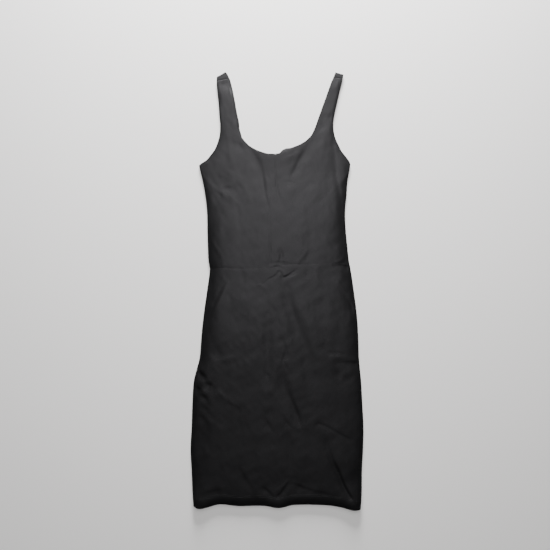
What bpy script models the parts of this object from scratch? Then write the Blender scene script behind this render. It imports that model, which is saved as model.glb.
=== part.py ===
"""Bodycon dress in black double knit, laid flat with its front up.

Metres. X runs across the dress, Y from the hem up to the straps, and Z up from the surface
that the back lies on. The origin is on that surface, in the middle of the dress.

Four pieces are sewn into a tube: a front and a back bodice, each with its two straps cut in
one, and a front and a back skirt. A piece starts as a flat grid. The grid is bent to the
piece's outer face, worked out from the tables below, and Solidify gives the cloth its wall.
"""

import math
from collections import namedtuple

import bmesh
import bpy
from mathutils import Vector

# Cloth, and how it turns over at the edges
CLOTH = 0.0012            # one layer of knit
GAP = 0.0003              # between two pieces that are sewn together
ROLL = 0.0020             # outer radius where the back's sides and the armholes turn over
LIP = 0.0005              # upright strip of cloth next to the side seam
STRAP_FOLD = 0.0025       # outer radius where a strap turns over the shoulder
NECK_DROP = 0.0006        # how far the front's neck edge sinks
NECK_DROP_WIDTH = 0.007

# Heights of the front's outer face. The springy knit stands up in a round fold along each
# side of the tube, and settles lower towards the middle.
SIDE_REACH = 0.025        # from the side seam in to the top of the fold
SIDE_RISE = 0.0052        # from the seam's lip up to the top of the fold
CROWN = 0.0018            # and this much more, also in from the armholes
CROWN_WIDTH = 0.012
SETTLE = 0.0028
SETTLE_WIDTH = 0.060
SOFT_FROM = 0.003         # creases begin this far in from a side,
SOFT_TO = 0.010           # and are whole here
MOST_OPEN = 0.0080        # widest gap between the front and the back

# Hem, turned up and stitched
HEM_DEPTH = 0.025
HEM_RISE = 0.0025         # the stitched line stands off the surface
RISE_BELOW = 0.016
RISE_ABOVE = 0.040
HEM_DROP = 0.0016         # how far the front's hem edge rounds down onto the back's
DROP_REACH = 0.022
HEM_MARGIN = 0.010        # the doubled cloth stops this far from the side seams

CHEST_FROM = 0.55         # shares of the bodice's height between which the side's round fold
CHEST_TO = 0.95           # narrows to the armhole's
UNDERARM_FROM = 0.8       # share of the bodice's height where the back's side begins to flatten
UNDERARM_EASE = 0.0007    # the front stands this much further off the back there
UNDERARM_WIDEST = 0.86
UNDERARM_WIDTH = 0.07

NECK_POINT = (-0.003, 0.313)     # lowest point of the neckline
BACK_NECK_DEPTH = 0.005          # the back's neckline lies this much lower
BACK_INSET = 0.0015              # the back's armhole edge is set in from the front's
SHOULDER_DEPTH = 0.0097          # from the shoulder fold down to the shoulder seam
FLAT_ROWS = 1.5                  # a strap's edge flattens over its table's last rows
AIM_ROWS = 0.1                   # step in rows that gives the neckline's direction

# Outline of the bodice below the armholes
Side = namedtuple("Side", "y left right")
BODICE_SIDES = (
    Side(0.050, -0.1530, 0.1680),
    Side(0.070, -0.1565, 0.1640),
    Side(0.100, -0.1580, 0.1610),
    Side(0.140, -0.1590, 0.1570),
    Side(0.185, -0.1600, 0.1555),
    Side(0.220, -0.1640, 0.1590),
    Side(0.250, -0.1695, 0.1610),
    Side(0.289, -0.1755, 0.1650),
)
SKIRT_SIDES = (
    Side(-0.4985, -0.1895, 0.1900),
    Side(-0.4600, -0.1925, 0.1930),
    Side(-0.4100, -0.1950, 0.1940),
    Side(-0.3600, -0.1975, 0.1965),
    Side(-0.3100, -0.1950, 0.1975),
    Side(-0.2500, -0.1930, 0.1945),
    Side(-0.2050, -0.1900, 0.1920),
    Side(-0.1750, -0.1825, 0.1890),
    Side(-0.1500, -0.1765, 0.1870),
    Side(-0.1000, -0.1725, 0.1855),
    Side(-0.0500, -0.1670, 0.1820),
    Side(0.0000, -0.1600, 0.1755),
    Side(0.0350, -0.1550, 0.1705),
    Side(0.0620, -0.1520, 0.1660),
)

# Armhole and neck edge of each strap, from the neck point to the shoulder seam. "shows" is how
# far the back's neck edge comes out past the front's.
Strap = namedtuple("Strap", "arm_x arm_y neck_x neck_y shows")
LEFT_STRAP = (
    Strap(-0.1755, 0.287, -0.0030, 0.313, -0.0050),
    Strap(-0.1680, 0.292, -0.0240, 0.314, -0.0050),
    Strap(-0.1570, 0.300, -0.0465, 0.322, -0.0050),
    Strap(-0.1480, 0.311, -0.0635, 0.332, -0.0045),
    Strap(-0.1400, 0.323, -0.0750, 0.344, -0.0040),
    Strap(-0.1330, 0.340, -0.0830, 0.356, -0.0030),
    Strap(-0.1290, 0.356, -0.0875, 0.370, -0.0010),
    Strap(-0.1285, 0.378, -0.0915, 0.386, 0.0035),
    Strap(-0.1305, 0.401, -0.0970, 0.404, 0.0060),
    Strap(-0.1335, 0.435, -0.1035, 0.437, 0.0065),
    Strap(-0.1365, 0.462, -0.1090, 0.466, 0.0045),
    Strap(-0.1370, 0.479, -0.1120, 0.484, 0.0000),
)
RIGHT_STRAP = (
    Strap(0.1650, 0.289, -0.0030, 0.313, -0.0050),
    Strap(0.1590, 0.299, 0.0060, 0.315, -0.0050),
    Strap(0.1515, 0.3085, 0.0150, 0.323, -0.0050),
    Strap(0.1450, 0.319, 0.0330, 0.327, -0.0045),
    Strap(0.1395, 0.330, 0.0510, 0.334, -0.0040),
    Strap(0.1340, 0.346, 0.0670, 0.344, -0.0040),
    Strap(0.1305, 0.360, 0.0790, 0.357, -0.0030),
    Strap(0.1288, 0.378, 0.0880, 0.377, -0.0020),
    Strap(0.1310, 0.401, 0.0965, 0.401, -0.0015),
    Strap(0.1410, 0.446, 0.1130, 0.447, -0.0015),
    Strap(0.1460, 0.468, 0.1220, 0.472, -0.0010),
    Strap(0.1485, 0.484, 0.1285, 0.487, 0.0000),
)
LEFT_PEAK = 0.0035        # the fold over a shoulder is highest near the neck
RIGHT_PEAK = 0.0020
SHOULDER_PEAK_POWER = 2.4

# Waist seam and hem edge, as heights along the dress
Point = namedtuple("Point", "x y")
WAIST_SEAM = (
    Point(-0.156, 0.0505),
    Point(-0.120, 0.0530),
    Point(-0.085, 0.0515),
    Point(-0.025, 0.0530),
    Point(0.015, 0.0600),
    Point(0.060, 0.0610),
    Point(0.150, 0.0620),
    Point(0.167, 0.0590),
)
HEM_EDGE = (
    Point(-0.1900, -0.4900),
    Point(-0.1770, -0.4950),
    Point(-0.1550, -0.4915),
    Point(-0.1310, -0.4860),
    Point(-0.0900, -0.4900),
    Point(-0.0300, -0.4895),
    Point(0.0040, -0.4940),
    Point(0.0400, -0.4875),
    Point(0.1150, -0.4885),
    Point(0.1500, -0.4935),
    Point(0.1750, -0.4985),
    Point(0.1900, -0.4970),
)

# Places where the hem's edge curls up off the surface
Curl = namedtuple("Curl", "x width reach height")
HEM_CURLS = (
    Curl(-0.182, 0.030, 0.032, 0.0028),
    Curl(0.006, 0.028, 0.022, 0.0014),
    Curl(0.184, 0.032, 0.040, 0.0034),
)

# Largest folds of the front: a soft trough (depth below 0) or ridge along a path of x, y points
Fold = namedtuple("Fold", "depth width path")
BODICE_FOLDS = (
    Fold(-0.0016, 0.008, ((-0.060, 0.322), (-0.047, 0.297), (-0.034, 0.275), (-0.028, 0.240))),
    Fold(-0.0009, 0.009, ((-0.028, 0.240), (-0.018, 0.160), (-0.015, 0.066))),
    Fold(-0.0017, 0.009, ((0.073, 0.338), (0.057, 0.311), (0.034, 0.268))),
    Fold(-0.0009, 0.009, ((-0.003, 0.286), (0.006, 0.215))),
    Fold(-0.0018, 0.010, ((0.128, 0.320), (0.132, 0.270), (0.139, 0.190), (0.145, 0.085))),
    Fold(0.0007, 0.008, ((0.141, 0.304), (0.156, 0.268))),
    Fold(0.0006, 0.012, ((0.020, 0.256), (0.118, 0.257))),
    Fold(0.0008, 0.012, ((-0.110, 0.272), (-0.078, 0.257))),
    Fold(-0.0010, 0.009, ((-0.132, 0.240), (-0.100, 0.242))),
    Fold(-0.0008, 0.009, ((0.104, 0.396), (0.128, 0.395))),
)
SKIRT_FOLDS = (
    Fold(-0.0014, 0.008, ((0.010, 0.034), (0.026, 0.036), (0.040, 0.046))),
    Fold(-0.0010, 0.008, ((-0.026, 0.024), (-0.006, 0.032))),
    Fold(-0.0018, 0.012, ((0.022, 0.000), (0.034, -0.054), (0.054, -0.106), (0.070, -0.165),
                          (0.088, -0.226))),
    Fold(0.0006, 0.014, ((0.060, -0.010), (0.070, -0.055), (0.090, -0.104))),
    Fold(-0.0009, 0.011, ((-0.023, -0.077), (-0.021, -0.190))),
    Fold(-0.0010, 0.008, ((0.137, 0.023), (0.170, -0.025))),
    Fold(-0.0009, 0.008, ((0.138, -0.162), (0.172, -0.161))),
    Fold(0.0008, 0.011, ((-0.110, 0.025), (-0.131, -0.009), (-0.148, -0.047))),
    Fold(-0.0013, 0.009, ((0.012, -0.200), (0.030, -0.248), (0.052, -0.305))),
    Fold(-0.0010, 0.008, ((-0.026, -0.293), (-0.004, -0.322))),
    Fold(-0.0008, 0.008, ((0.094, -0.299), (0.143, -0.323), (0.178, -0.339))),
    Fold(-0.0018, 0.010, ((0.109, -0.332), (0.119, -0.372), (0.146, -0.430), (0.168, -0.468))),
    Fold(0.0008, 0.018, ((0.150, -0.350), (0.172, -0.405))),
    Fold(-0.0013, 0.009, ((-0.092, -0.401), (-0.075, -0.423), (-0.057, -0.450))),
    Fold(-0.0010, 0.009, ((-0.150, -0.205), (-0.160, -0.230))),
    Fold(0.0008, 0.012, ((-0.178, -0.195), (-0.176, -0.225))),
)
WAIST_DIP = 0.0006        # the waist seam draws the front down
WAIST_DIP_WIDTH = 0.006

# How finely the pieces are divided. "columns" run from a side to the middle, and "top_row" is
# the depth of the bodice's last row below the underarm.
Layer = namedtuple("Layer", "side roll_steps columns bodice_rows top_row strap_rows skirt_rows")
LAYERS = (
    Layer("front", 6, 10, 16, 0.004, 22, 27),
    Layer("back", 3, 6, 10, 0.012, 15, 14),
)
FOLD_STEPS = 6
SEAM_ROW = 0.004          # depth of the row next to the waist seam
HEM_STEP = 0.003          # the doubled cloth ends within this length
HEM_ROWS = (0.0, 0.006, 0.014, HEM_DEPTH - HEM_STEP / 2, HEM_DEPTH + HEM_STEP / 2, 0.040, 0.056, 0.075)

BLACK = (0.013, 0.013, 0.014, 1.0)
ROUGHNESS = 0.85

# Worked out from the sizes above
FLAT_EXTRA = ROLL * math.pi / 2 + LIP - ROLL      # how much wider a side is unrolled
BACK_SEAM = ROLL + LIP                            # height at which the back's sides end
SIDE_SEAM = BACK_SEAM + GAP                       # height at which the front's sides end
ARMHOLE_EDGE = CLOTH + GAP                        # and its armhole edges
HIGHEST = CLOTH + MOST_OPEN + CLOTH               # limit for the front's outer face
SHOULDER_ROW = len(LEFT_STRAP) - 1
NECK_EDGE = ([(row.neck_x, row.neck_y) for row in reversed(LEFT_STRAP)]
             + [(row.neck_x, row.neck_y) for row in RIGHT_STRAP[1:]])

Spot = namedtuple("Spot", "x y drop inside")      # a grid point before it has its height
Skin = namedtuple("Skin", "x y z wall")           # a point of a piece's outer face


def smooth(xs, ys, x):
    """Height at x of a smooth curve through the points xs, ys, held level past both ends."""
    last = len(xs) - 1
    i = 0
    while i < last - 1 and x > xs[i + 1]:
        i += 1

    def slope(k):
        low, high = max(k - 1, 0), min(k + 1, last)
        return (ys[high] - ys[low]) / (xs[high] - xs[low])

    step = xs[i + 1] - xs[i]
    t = min(max((x - xs[i]) / step, 0.0), 1.0)
    return (ys[i] * (1 + 2 * t) * (1 - t) ** 2 + slope(i) * step * t * (1 - t) ** 2
            + ys[i + 1] * t * t * (3 - 2 * t) - slope(i + 1) * step * t * t * (1 - t))


def read(table, by, what, at):
    """Column what of a table, read smoothly at a value of its column by."""
    return smooth([getattr(row, by) for row in table], [getattr(row, what) for row in table], at)


def read_row(table, what, row):
    """Column what of a table, read smoothly at a row number that may lie between two rows."""
    return smooth(range(len(table)), [getattr(entry, what) for entry in table], row)


def ease(x, start, end):
    """From 0 at start to 1 at end, level at both."""
    t = min(max((x - start) / (end - start), 0.0), 1.0)
    return t * t * (3 - 2 * t)


def bell(x, width):
    return math.exp(-(x / width) ** 2)


def blend(a, b, t):
    return a + (b - a) * t


def spread(start, end, count):
    return [blend(start, end, i / count) for i in range(count + 1)]


def distance_to_path(x, y, path):
    """How far x, y lies from a path of straight runs."""
    nearest = math.inf
    for (x0, y0), (x1, y1) in zip(path, path[1:]):
        run_x, run_y = x1 - x0, y1 - y0
        t = ((x - x0) * run_x + (y - y0) * run_y) / (run_x ** 2 + run_y ** 2)
        t = min(max(t, 0.0), 1.0)
        nearest = min(nearest, math.hypot(x - x0 - t * run_x, y - y0 - t * run_y))
    return nearest


def waist_seam(x):
    return read(WAIST_SEAM, "x", "y", x)


def hem_edge(x):
    return read(HEM_EDGE, "x", "y", x)


def lift(x, y):
    """How far both layers stand off the surface, which is only near the hem."""
    up = y - hem_edge(x)
    rise = HEM_RISE * bell(up - HEM_DEPTH, RISE_BELOW if up < HEM_DEPTH else RISE_ABOVE)
    for curl in HEM_CURLS:
        rise += curl.height * bell(x - curl.x, curl.width) * bell(up, curl.reach)
    return rise


def half_row(start, end, layer, shape=1.0, inset=0.0, tube=0.0):
    """Spots from a side point to the middle: the side's fold first, then the panel's columns.

    The fold is an armhole's narrow one where tube is 0, and the tube's round one where it is 1.
    Where shape is 0 the side lies flat instead, with its edge set in from the side point.
    """
    start, end = Vector(start), Vector(end)
    inward = (end - start).normalized()
    reach = blend(ROLL, SIDE_REACH, tube)
    rise = blend(ROLL, SIDE_RISE, tube)
    begin = start + inward * (reach + (FLAT_EXTRA + inset) * (1 - shape))
    fold = [(reach, rise + LIP, ROLL + FLAT_EXTRA)]
    for step in range(layer.roll_steps, 0, -1):
        angle = math.pi / 2 * step / layer.roll_steps
        drop = rise * (1 - math.cos(angle) ** (1 + tube / 2))
        fold.append((reach * math.sin(angle), drop, ROLL * angle))
    spots = []
    for out, drop, flat in fold:
        at = begin - inward * blend(flat, out, shape)
        spots.append(Spot(at.x, at.y, drop * shape, reach - out))
    for share in spread(0.0, 1.0, layer.columns):
        at = begin.lerp(end, share)
        spots.append(Spot(at.x, at.y, 0.0, reach + (at - begin).length))
    return spots


def level_row(sides, middle, along, layer, **fold):
    """Both halves of a row that runs across the dress, where along gives y at x.

    A row isn't level, so its end is found by closing in on the outline in a few steps.
    """
    halves = []
    for side in ("left", "right"):
        x = middle
        for _ in range(3):
            x = read(sides, "y", side, along(x))
        spots = half_row((x, 0.0), (middle, 0.0), layer, **fold)
        halves.append([spot._replace(y=along(spot.x)) for spot in spots])
    return halves


def front_point(spot, seam, folds, tube=0.0, flat=0.0, wall=CLOTH):
    """A point of the front's outer face, kept clear of the back below it.

    The face starts from the height of its seam. Where flat is 1 it is as level as the back.
    """
    height = seam + LIP + blend(ROLL, SIDE_RISE, tube) - spot.drop
    height += (1 - flat) * CROWN * (1 - math.exp(-spot.inside / CROWN_WIDTH))
    height -= tube * SETTLE * (1 - bell(spot.inside, SETTLE_WIDTH))
    if spot.inside > SOFT_FROM:
        soft = ease(spot.inside, SOFT_FROM, SOFT_TO)
        for fold in folds:
            away = distance_to_path(spot.x, spot.y, fold.path)
            height += soft * fold.depth * bell(away, fold.width)
        height -= soft * WAIST_DIP * bell(spot.y - waist_seam(spot.x), WAIST_DIP_WIDTH)
        away = distance_to_path(spot.x, spot.y, NECK_EDGE)
        height -= (1 - flat) * NECK_DROP * bell(away, NECK_DROP_WIDTH)
        past_hem = min((spot.y - hem_edge(spot.x)) / DROP_REACH, 1.0)
        height -= HEM_DROP * (1 - past_hem) ** 2 * ease(spot.inside, SOFT_FROM, SIDE_REACH)
        height = min(max(height, 2 * wall + GAP), HIGHEST + 2 * (wall - CLOTH))
    return Skin(spot.x, spot.y, height + lift(spot.x, spot.y), wall)


def back_point(spot, wall=CLOTH):
    """A point of the back's outer face, which is its underside."""
    return Skin(spot.x, spot.y, spot.drop + lift(spot.x, spot.y), wall)


def bodice_rows(ups, layer, is_front):
    """The bodice below its straps, in rows that bend up towards the neck."""
    neck_x, neck_y = NECK_POINT
    if not is_front:
        neck_y -= BACK_NECK_DEPTH

    def top(x):
        arm = LEFT_STRAP[0] if x < neck_x else RIGHT_STRAP[0]
        return blend(neck_y, arm.arm_y, (x - neck_x) / (arm.arm_x - neck_x))

    for up in ups:
        share = up / ups[-1]
        rolled = 1 - ease(share, UNDERARM_FROM, 1.0)

        def along(x):
            return blend(waist_seam(x) + GAP / 2, top(x), share)

        if is_front:
            seam = (blend(ARMHOLE_EDGE, SIDE_SEAM, rolled)
                    + UNDERARM_EASE * bell(share - UNDERARM_WIDEST, UNDERARM_WIDTH))
            tube = 1 - ease(share, CHEST_FROM, CHEST_TO)
            halves = level_row(BODICE_SIDES, neck_x * share, along, layer, tube=tube)
            yield [[front_point(spot, seam, BODICE_FOLDS, tube) for spot in half]
                   for half in halves]
        else:
            halves = level_row(BODICE_SIDES, neck_x * share, along, layer,
                               shape=rolled, inset=BACK_INSET)
            yield [[back_point(spot) for spot in half] for half in halves]


def strap_edges(table, row):
    """Armhole point, neck point and the neckline's direction at a row of a strap."""
    def at(edge, number):
        return Vector([read_row(table, edge + axis, number) for axis in ("_x", "_y")])

    neck = at("neck", row)
    return at("arm", row), neck, (neck - at("neck", row - AIM_ROWS)).normalized()


def strap_flatness(row):
    """From 0 to 1 where a strap's edges flatten towards the shoulder seam."""
    return ease(row, SHOULDER_ROW - FLAT_ROWS, SHOULDER_ROW)


def front_strap(table, row, layer):
    arm, neck, _ = strap_edges(table, row)
    flat = strap_flatness(row)
    seam = blend(ARMHOLE_EDGE, 2 * STRAP_FOLD - LIP - ROLL, flat)
    spots = half_row(arm, neck, layer, 1 - flat)
    return [front_point(spot, seam, BODICE_FOLDS, flat=flat) for spot in spots]


def back_strap(table, row, layer):
    arm, neck, along = strap_edges(table, row)
    outwards = Vector((along.y, -along.x))
    if table is RIGHT_STRAP:
        outwards = -outwards
    shown = neck + outwards * read_row(table, "shows", row)
    inset = BACK_INSET * (1 - strap_flatness(row))
    return [back_point(spot) for spot in half_row(arm, shown, layer, 0.0, inset)]


def shoulder_fold(table, layer, peak):
    """The back strap from under the shoulder seam, over the fold, and down to that seam.

    The fold line rises by peak part of the way along from the armhole, and falls to nothing
    at both edges of the strap.
    """
    under = back_strap(table, SHOULDER_ROW, layer)
    arm, neck, _ = strap_edges(table, SHOULDER_ROW)
    for step in range(FOLD_STEPS + 1):
        angle = math.pi * step / FOLD_STEPS
        row = []
        for point in under:
            share = (point.x - arm.x) / (neck.x - arm.x)
            bump = min(max(share, 0.0), 1.0) ** SHOULDER_PEAK_POWER
            fold_y = point.y + SHOULDER_DEPTH + peak * 4 * bump * (1 - bump)
            y = fold_y - STRAP_FOLD * (1 - math.sin(angle))
            row.append(Skin(point.x, y, STRAP_FOLD * (1 - math.cos(angle)), CLOTH))
        yield row
    yield [Skin(point.x, point.y + GAP, 2 * STRAP_FOLD, CLOTH) for point in under]


def skirt_rows(ups, layer, is_front):
    """The skirt from its hem up to the waist seam."""
    for up in ups:
        share = up / ups[-1]

        def along(x):
            return blend(hem_edge(x), waist_seam(x) - GAP / 2, share)

        tube = 1.0 if is_front else 0.0
        row = []
        for half in level_row(SKIRT_SIDES, 0.0, along, layer, tube=tube):
            points = []
            for spot in half:
                doubled = up < HEM_DEPTH and spot.inside > HEM_MARGIN
                wall = 2 * CLOTH if doubled else CLOTH
                if is_front:
                    points.append(front_point(spot, SIDE_SEAM, SKIRT_FOLDS, tube, wall=wall))
                else:
                    points.append(back_point(spot, wall))
            row.append(points)
        yield row


def black_knit(name):
    material = bpy.data.materials.new(name)
    material.use_nodes = True
    surface = material.node_tree.nodes["Principled BSDF"]
    surface.inputs["Base Color"].default_value = BLACK
    surface.inputs["Roughness"].default_value = ROUGHNESS
    surface.inputs["Metallic"].default_value = 0.0
    material.diffuse_color = BLACK
    return material


def sew_in(name, rows, slit_from, faces_up, collection, parent):
    """Make a piece from its rows, each a left and a right half from the side to the middle.

    From the row slit_from on, the halves part along the middle and become the two straps.
    """
    half = len(rows[0][0]) - 1
    last = len(rows) - 1
    cloth = bmesh.new()
    bmesh.ops.create_grid(cloth, x_segments=2 * half, y_segments=last, size=1.0)
    for layer in ("column", "row"):
        cloth.verts.layers.int.new(layer)
    thickness = cloth.verts.layers.deform.verify()
    column, row = (cloth.verts.layers.int[layer] for layer in ("column", "row"))
    for vert in cloth.verts:
        vert[column] = round((vert.co.x + 1) * half)
        vert[row] = round((vert.co.y + 1) / 2 * last)
    slit = [edge for edge in cloth.edges
            if all(vert[column] == half and vert[row] >= slit_from for vert in edge.verts)]
    bmesh.ops.split_edges(cloth, edges=slit)
    on_left = {vert: any(face.calc_center_median().x < 0 for face in vert.link_faces)
               for vert in cloth.verts}
    for vert in cloth.verts:
        left, right = rows[vert[row]]
        point = left[vert[column]] if on_left[vert] else right[2 * half - vert[column]]
        vert.co = (point.x, point.y, point.z)
        vert[thickness][0] = point.wall / (2 * CLOTH)
    if not faces_up:
        bmesh.ops.reverse_faces(cloth, faces=cloth.faces)
    mesh = bpy.data.meshes.new(name)
    cloth.to_mesh(mesh)
    cloth.free()
    mesh.shade_smooth()
    mesh.materials.append(black_knit(name.replace("_", " ") + " knit"))

    piece = bpy.data.objects.new(name, mesh)
    piece.parent = parent
    collection.objects.link(piece)
    piece.vertex_groups.new(name="wall")
    solid = piece.modifiers.new("cloth wall", "SOLIDIFY")
    solid.thickness = 2 * CLOTH
    solid.vertex_group = "wall"
    solid.offset = -1.0


def spaced(start, end, count, last_row):
    """Heights up a piece: even rows, then one narrow row."""
    return spread(start, end - last_row, count) + [end]


for thing in list(bpy.data.objects):
    bpy.data.objects.remove(thing, do_unlink=True)

dress = bpy.data.collections.new("bodycon_dress")
bpy.context.scene.collection.children.link(dress)
middle = bpy.data.objects.new("dress_middle", None)
middle.empty_display_size = 0.1
dress.objects.link(middle)

BODICE_LENGTH = NECK_POINT[1] - waist_seam(0.0)
SKIRT_LENGTH = waist_seam(0.0) - hem_edge(0.0)

for layer in LAYERS:
    is_front = layer.side == "front"

    # Bodice and its straps
    ups = [0.0] + spaced(SEAM_ROW, BODICE_LENGTH, layer.bodice_rows, layer.top_row)
    rows = list(bodice_rows(ups, layer, is_front))
    neck_row = len(rows) - 1
    strap = front_strap if is_front else back_strap
    for number in spread(0, SHOULDER_ROW, layer.strap_rows)[1:]:
        rows.append([strap(table, number, layer) for table in (LEFT_STRAP, RIGHT_STRAP)])
    if not is_front:
        rows += zip(shoulder_fold(LEFT_STRAP, layer, LEFT_PEAK),
                    shoulder_fold(RIGHT_STRAP, layer, RIGHT_PEAK))
    sew_in("bodice_" + layer.side, rows, neck_row, is_front, dress, middle)

    # Skirt
    ups = list(HEM_ROWS) + spaced(HEM_ROWS[-1], SKIRT_LENGTH, layer.skirt_rows, SEAM_ROW)[1:]
    rows = list(skirt_rows(ups, layer, is_front))
    sew_in("skirt_" + layer.side, rows, len(rows), is_front, dress, middle)
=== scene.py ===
import math

import bpy
import numpy as np
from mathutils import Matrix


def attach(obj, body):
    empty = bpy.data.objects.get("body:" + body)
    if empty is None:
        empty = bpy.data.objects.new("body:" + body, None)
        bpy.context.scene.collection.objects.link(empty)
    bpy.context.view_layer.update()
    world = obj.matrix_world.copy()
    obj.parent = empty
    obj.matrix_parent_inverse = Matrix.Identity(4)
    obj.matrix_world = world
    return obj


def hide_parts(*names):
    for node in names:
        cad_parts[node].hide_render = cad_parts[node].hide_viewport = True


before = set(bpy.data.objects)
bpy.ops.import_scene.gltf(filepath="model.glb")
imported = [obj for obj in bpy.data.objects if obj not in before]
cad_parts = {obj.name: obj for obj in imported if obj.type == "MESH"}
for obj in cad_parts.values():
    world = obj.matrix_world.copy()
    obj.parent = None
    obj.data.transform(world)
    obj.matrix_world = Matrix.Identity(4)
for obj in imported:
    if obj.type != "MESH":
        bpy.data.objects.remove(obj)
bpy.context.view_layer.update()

# Camera
# It looks straight down on the front, as one looks at clothes laid out on a low table. The view
# is square.
VIEW_ACROSS = 1.254              # what it takes in at the height of the cloth
VIEW_MIDDLE = (-0.0046, 0.0369)
VIEW_HEIGHT = 0.97               # above the cloth
CLOTH_TOP = 0.0045               # about the middle of the front's heights
SENSOR = 36                      # millimetres
bpy.ops.object.camera_add(location=(*VIEW_MIDDLE, CLOTH_TOP + VIEW_HEIGHT), rotation=(0, 0, 0))
camera = bpy.context.object
camera.name = "camera"
camera.data.sensor_width = SENSOR
camera.data.lens = SENSOR * VIEW_HEIGHT / VIEW_ACROSS
camera.data.clip_start = 0.01
bpy.context.scene.camera = camera

# Floor and light
# A plain pale floor. A long narrow soft lamp hangs over the dress along its length, a small
# weak one past the hem, and a wide soft light stands beyond the straps as a window does.
FLOOR_ACROSS = 9
bpy.ops.object.select_all(action="DESELECT")
bpy.ops.mesh.primitive_plane_add(size=FLOOR_ACROSS, location=(0, 0, 0))
floor = bpy.context.object
floor.name = "floor"
pale = bpy.data.materials.new("pale floor")
pale.use_nodes = True
finish = pale.node_tree.nodes["Principled BSDF"].inputs
finish["Base Color"].default_value = (0.93, 0.915, 0.905, 1)
finish["Roughness"].default_value = 0.9
finish["Specular IOR Level"].default_value = 0.1
floor.data.materials.append(pale)

# Each light's place along the dress and height, the place along the dress that it aims at, how
# wide and how long it is, and its power
for name, y, z, aim_y, wide, long, power in (
    ("lamp", 0.75, 1.6, 0.0, 0.2, 2.6, 34),
    ("hem_lamp", -0.95, 1.6, -0.4, 0.2, 0.4, 1.0),
    ("window", 1.9, 0.36, 0.0, 0.6, 0.4, 165),
):
    bpy.ops.object.light_add(type="AREA", location=(0, y, z))
    light = bpy.context.object
    light.name = name
    light.data.shape = "RECTANGLE"
    light.data.size = wide
    light.data.size_y = long
    light.data.energy = power
    light.rotation_euler = (-math.atan2(y - aim_y, z), 0, 0)

world = bpy.data.worlds.new("room")
world.use_nodes = True
room = world.node_tree.nodes["Background"].inputs
room["Color"].default_value = (0.80, 0.82, 0.85, 1)
room["Strength"].default_value = 0.02
bpy.context.scene.world = world

# Bodice front
# The upper front and its two straps, cut in one from black double knit. Its sides turn down to
# the side seams, its armhole edges curl down onto the back, and its neck edge is turned in.
CLOTH = 0.0012                   # one layer of knit
GAP = 0.0001                     # between two pieces that are sewn together
ROLL = 0.0020                    # outer radius where the back's sides and the armholes turn over
LIP = 0.0005                     # upright strip of cloth next to the side seam
SIDE_REACH = 0.070               # from the side seam in to where its round fold ends
SIDE_SLOPE = 0.50                # how steeply that fold rises from the seam
FOLD_COLUMNS = 29                # columns of the mesh in a side fold
CROWDING = 1.2                   # from there they lie closer towards the middle
STRAP_FOLD = 0.0025              # outer radius where a strap turns over the shoulder
ARMHOLE_EDGE = CLOTH + 0.0003    # height at which the front's armhole edges end, on the back
SIDE_SEAM = ROLL + LIP + GAP     # and at which its sides end, on the back's rolled sides
HIGHEST = 0.0150                 # no crease rises past this

# y, left edge and right edge below the armholes
bodice_sides = np.array((
    (0.050, -0.1530, 0.1680), (0.070, -0.1565, 0.1640), (0.100, -0.1580, 0.1610),
    (0.140, -0.1590, 0.1570), (0.185, -0.1600, 0.1555), (0.220, -0.1640, 0.1590),
    (0.250, -0.1695, 0.1610), (0.289, -0.1790, 0.1680),
))
# y, and the left and right side folds' widths, in which each rises by about two thirds
side_folds = np.array((
    (-0.500, 0.008, 0.008), (-0.410, 0.010, 0.011), (-0.340, 0.010, 0.011),
    (-0.270, 0.013, 0.009), (-0.200, 0.016, 0.009), (-0.110, 0.019, 0.012),
    (-0.040, 0.020, 0.012), (0.000, 0.019, 0.012), (0.060, 0.017, 0.014),
    (0.100, 0.016, 0.016), (0.150, 0.013, 0.016), (0.200, 0.010, 0.014), (0.260, 0.008, 0.010),
))
# Armhole x, y, neck x, y, and how far the back's neck edge comes out past the front's
left_strap = np.array((
    (-0.1790, 0.287, -0.0030, 0.313, -0.0050), (-0.1725, 0.2920, -0.0240, 0.314, -0.0050),
    (-0.1612, 0.2995, -0.0465, 0.322, -0.0050), (-0.1507, 0.312, -0.0635, 0.332, -0.0045),
    (-0.1422, 0.324, -0.0750, 0.344, -0.0030), (-0.1353, 0.341, -0.0838, 0.356, 0.0025),
    (-0.1312, 0.357, -0.0893, 0.370, 0.0040), (-0.1300, 0.378, -0.0925, 0.386, 0.0055),
    (-0.1317, 0.401, -0.0970, 0.404, 0.0060), (-0.1343, 0.435, -0.1035, 0.437, 0.0067),
    (-0.1373, 0.462, -0.1090, 0.466, 0.0062), (-0.1378, 0.479, -0.1120, 0.484, 0.0042),
))
right_strap = np.array((
    (0.1680, 0.289, -0.0030, 0.313, -0.0050), (0.1640, 0.2985, 0.0060, 0.315, -0.0050),
    (0.1552, 0.310, 0.0150, 0.323, -0.0050), (0.1475, 0.320, 0.0330, 0.327, -0.0045),
    (0.1418, 0.331, 0.0510, 0.334, -0.0040), (0.1350, 0.346, 0.0670, 0.344, -0.0040),
    (0.1308, 0.360, 0.0790, 0.357, -0.0030), (0.1288, 0.378, 0.0880, 0.377, -0.0020),
    (0.1310, 0.401, 0.0965, 0.401, -0.0015), (0.1410, 0.446, 0.1130, 0.447, -0.0015),
    (0.1462, 0.468, 0.1220, 0.472, -0.0010), (0.1492, 0.484, 0.1285, 0.487, 0.0000),
))
NECK_POINT = (-0.003, 0.313)
SHOULDER_ROW = len(left_strap) - 1

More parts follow.
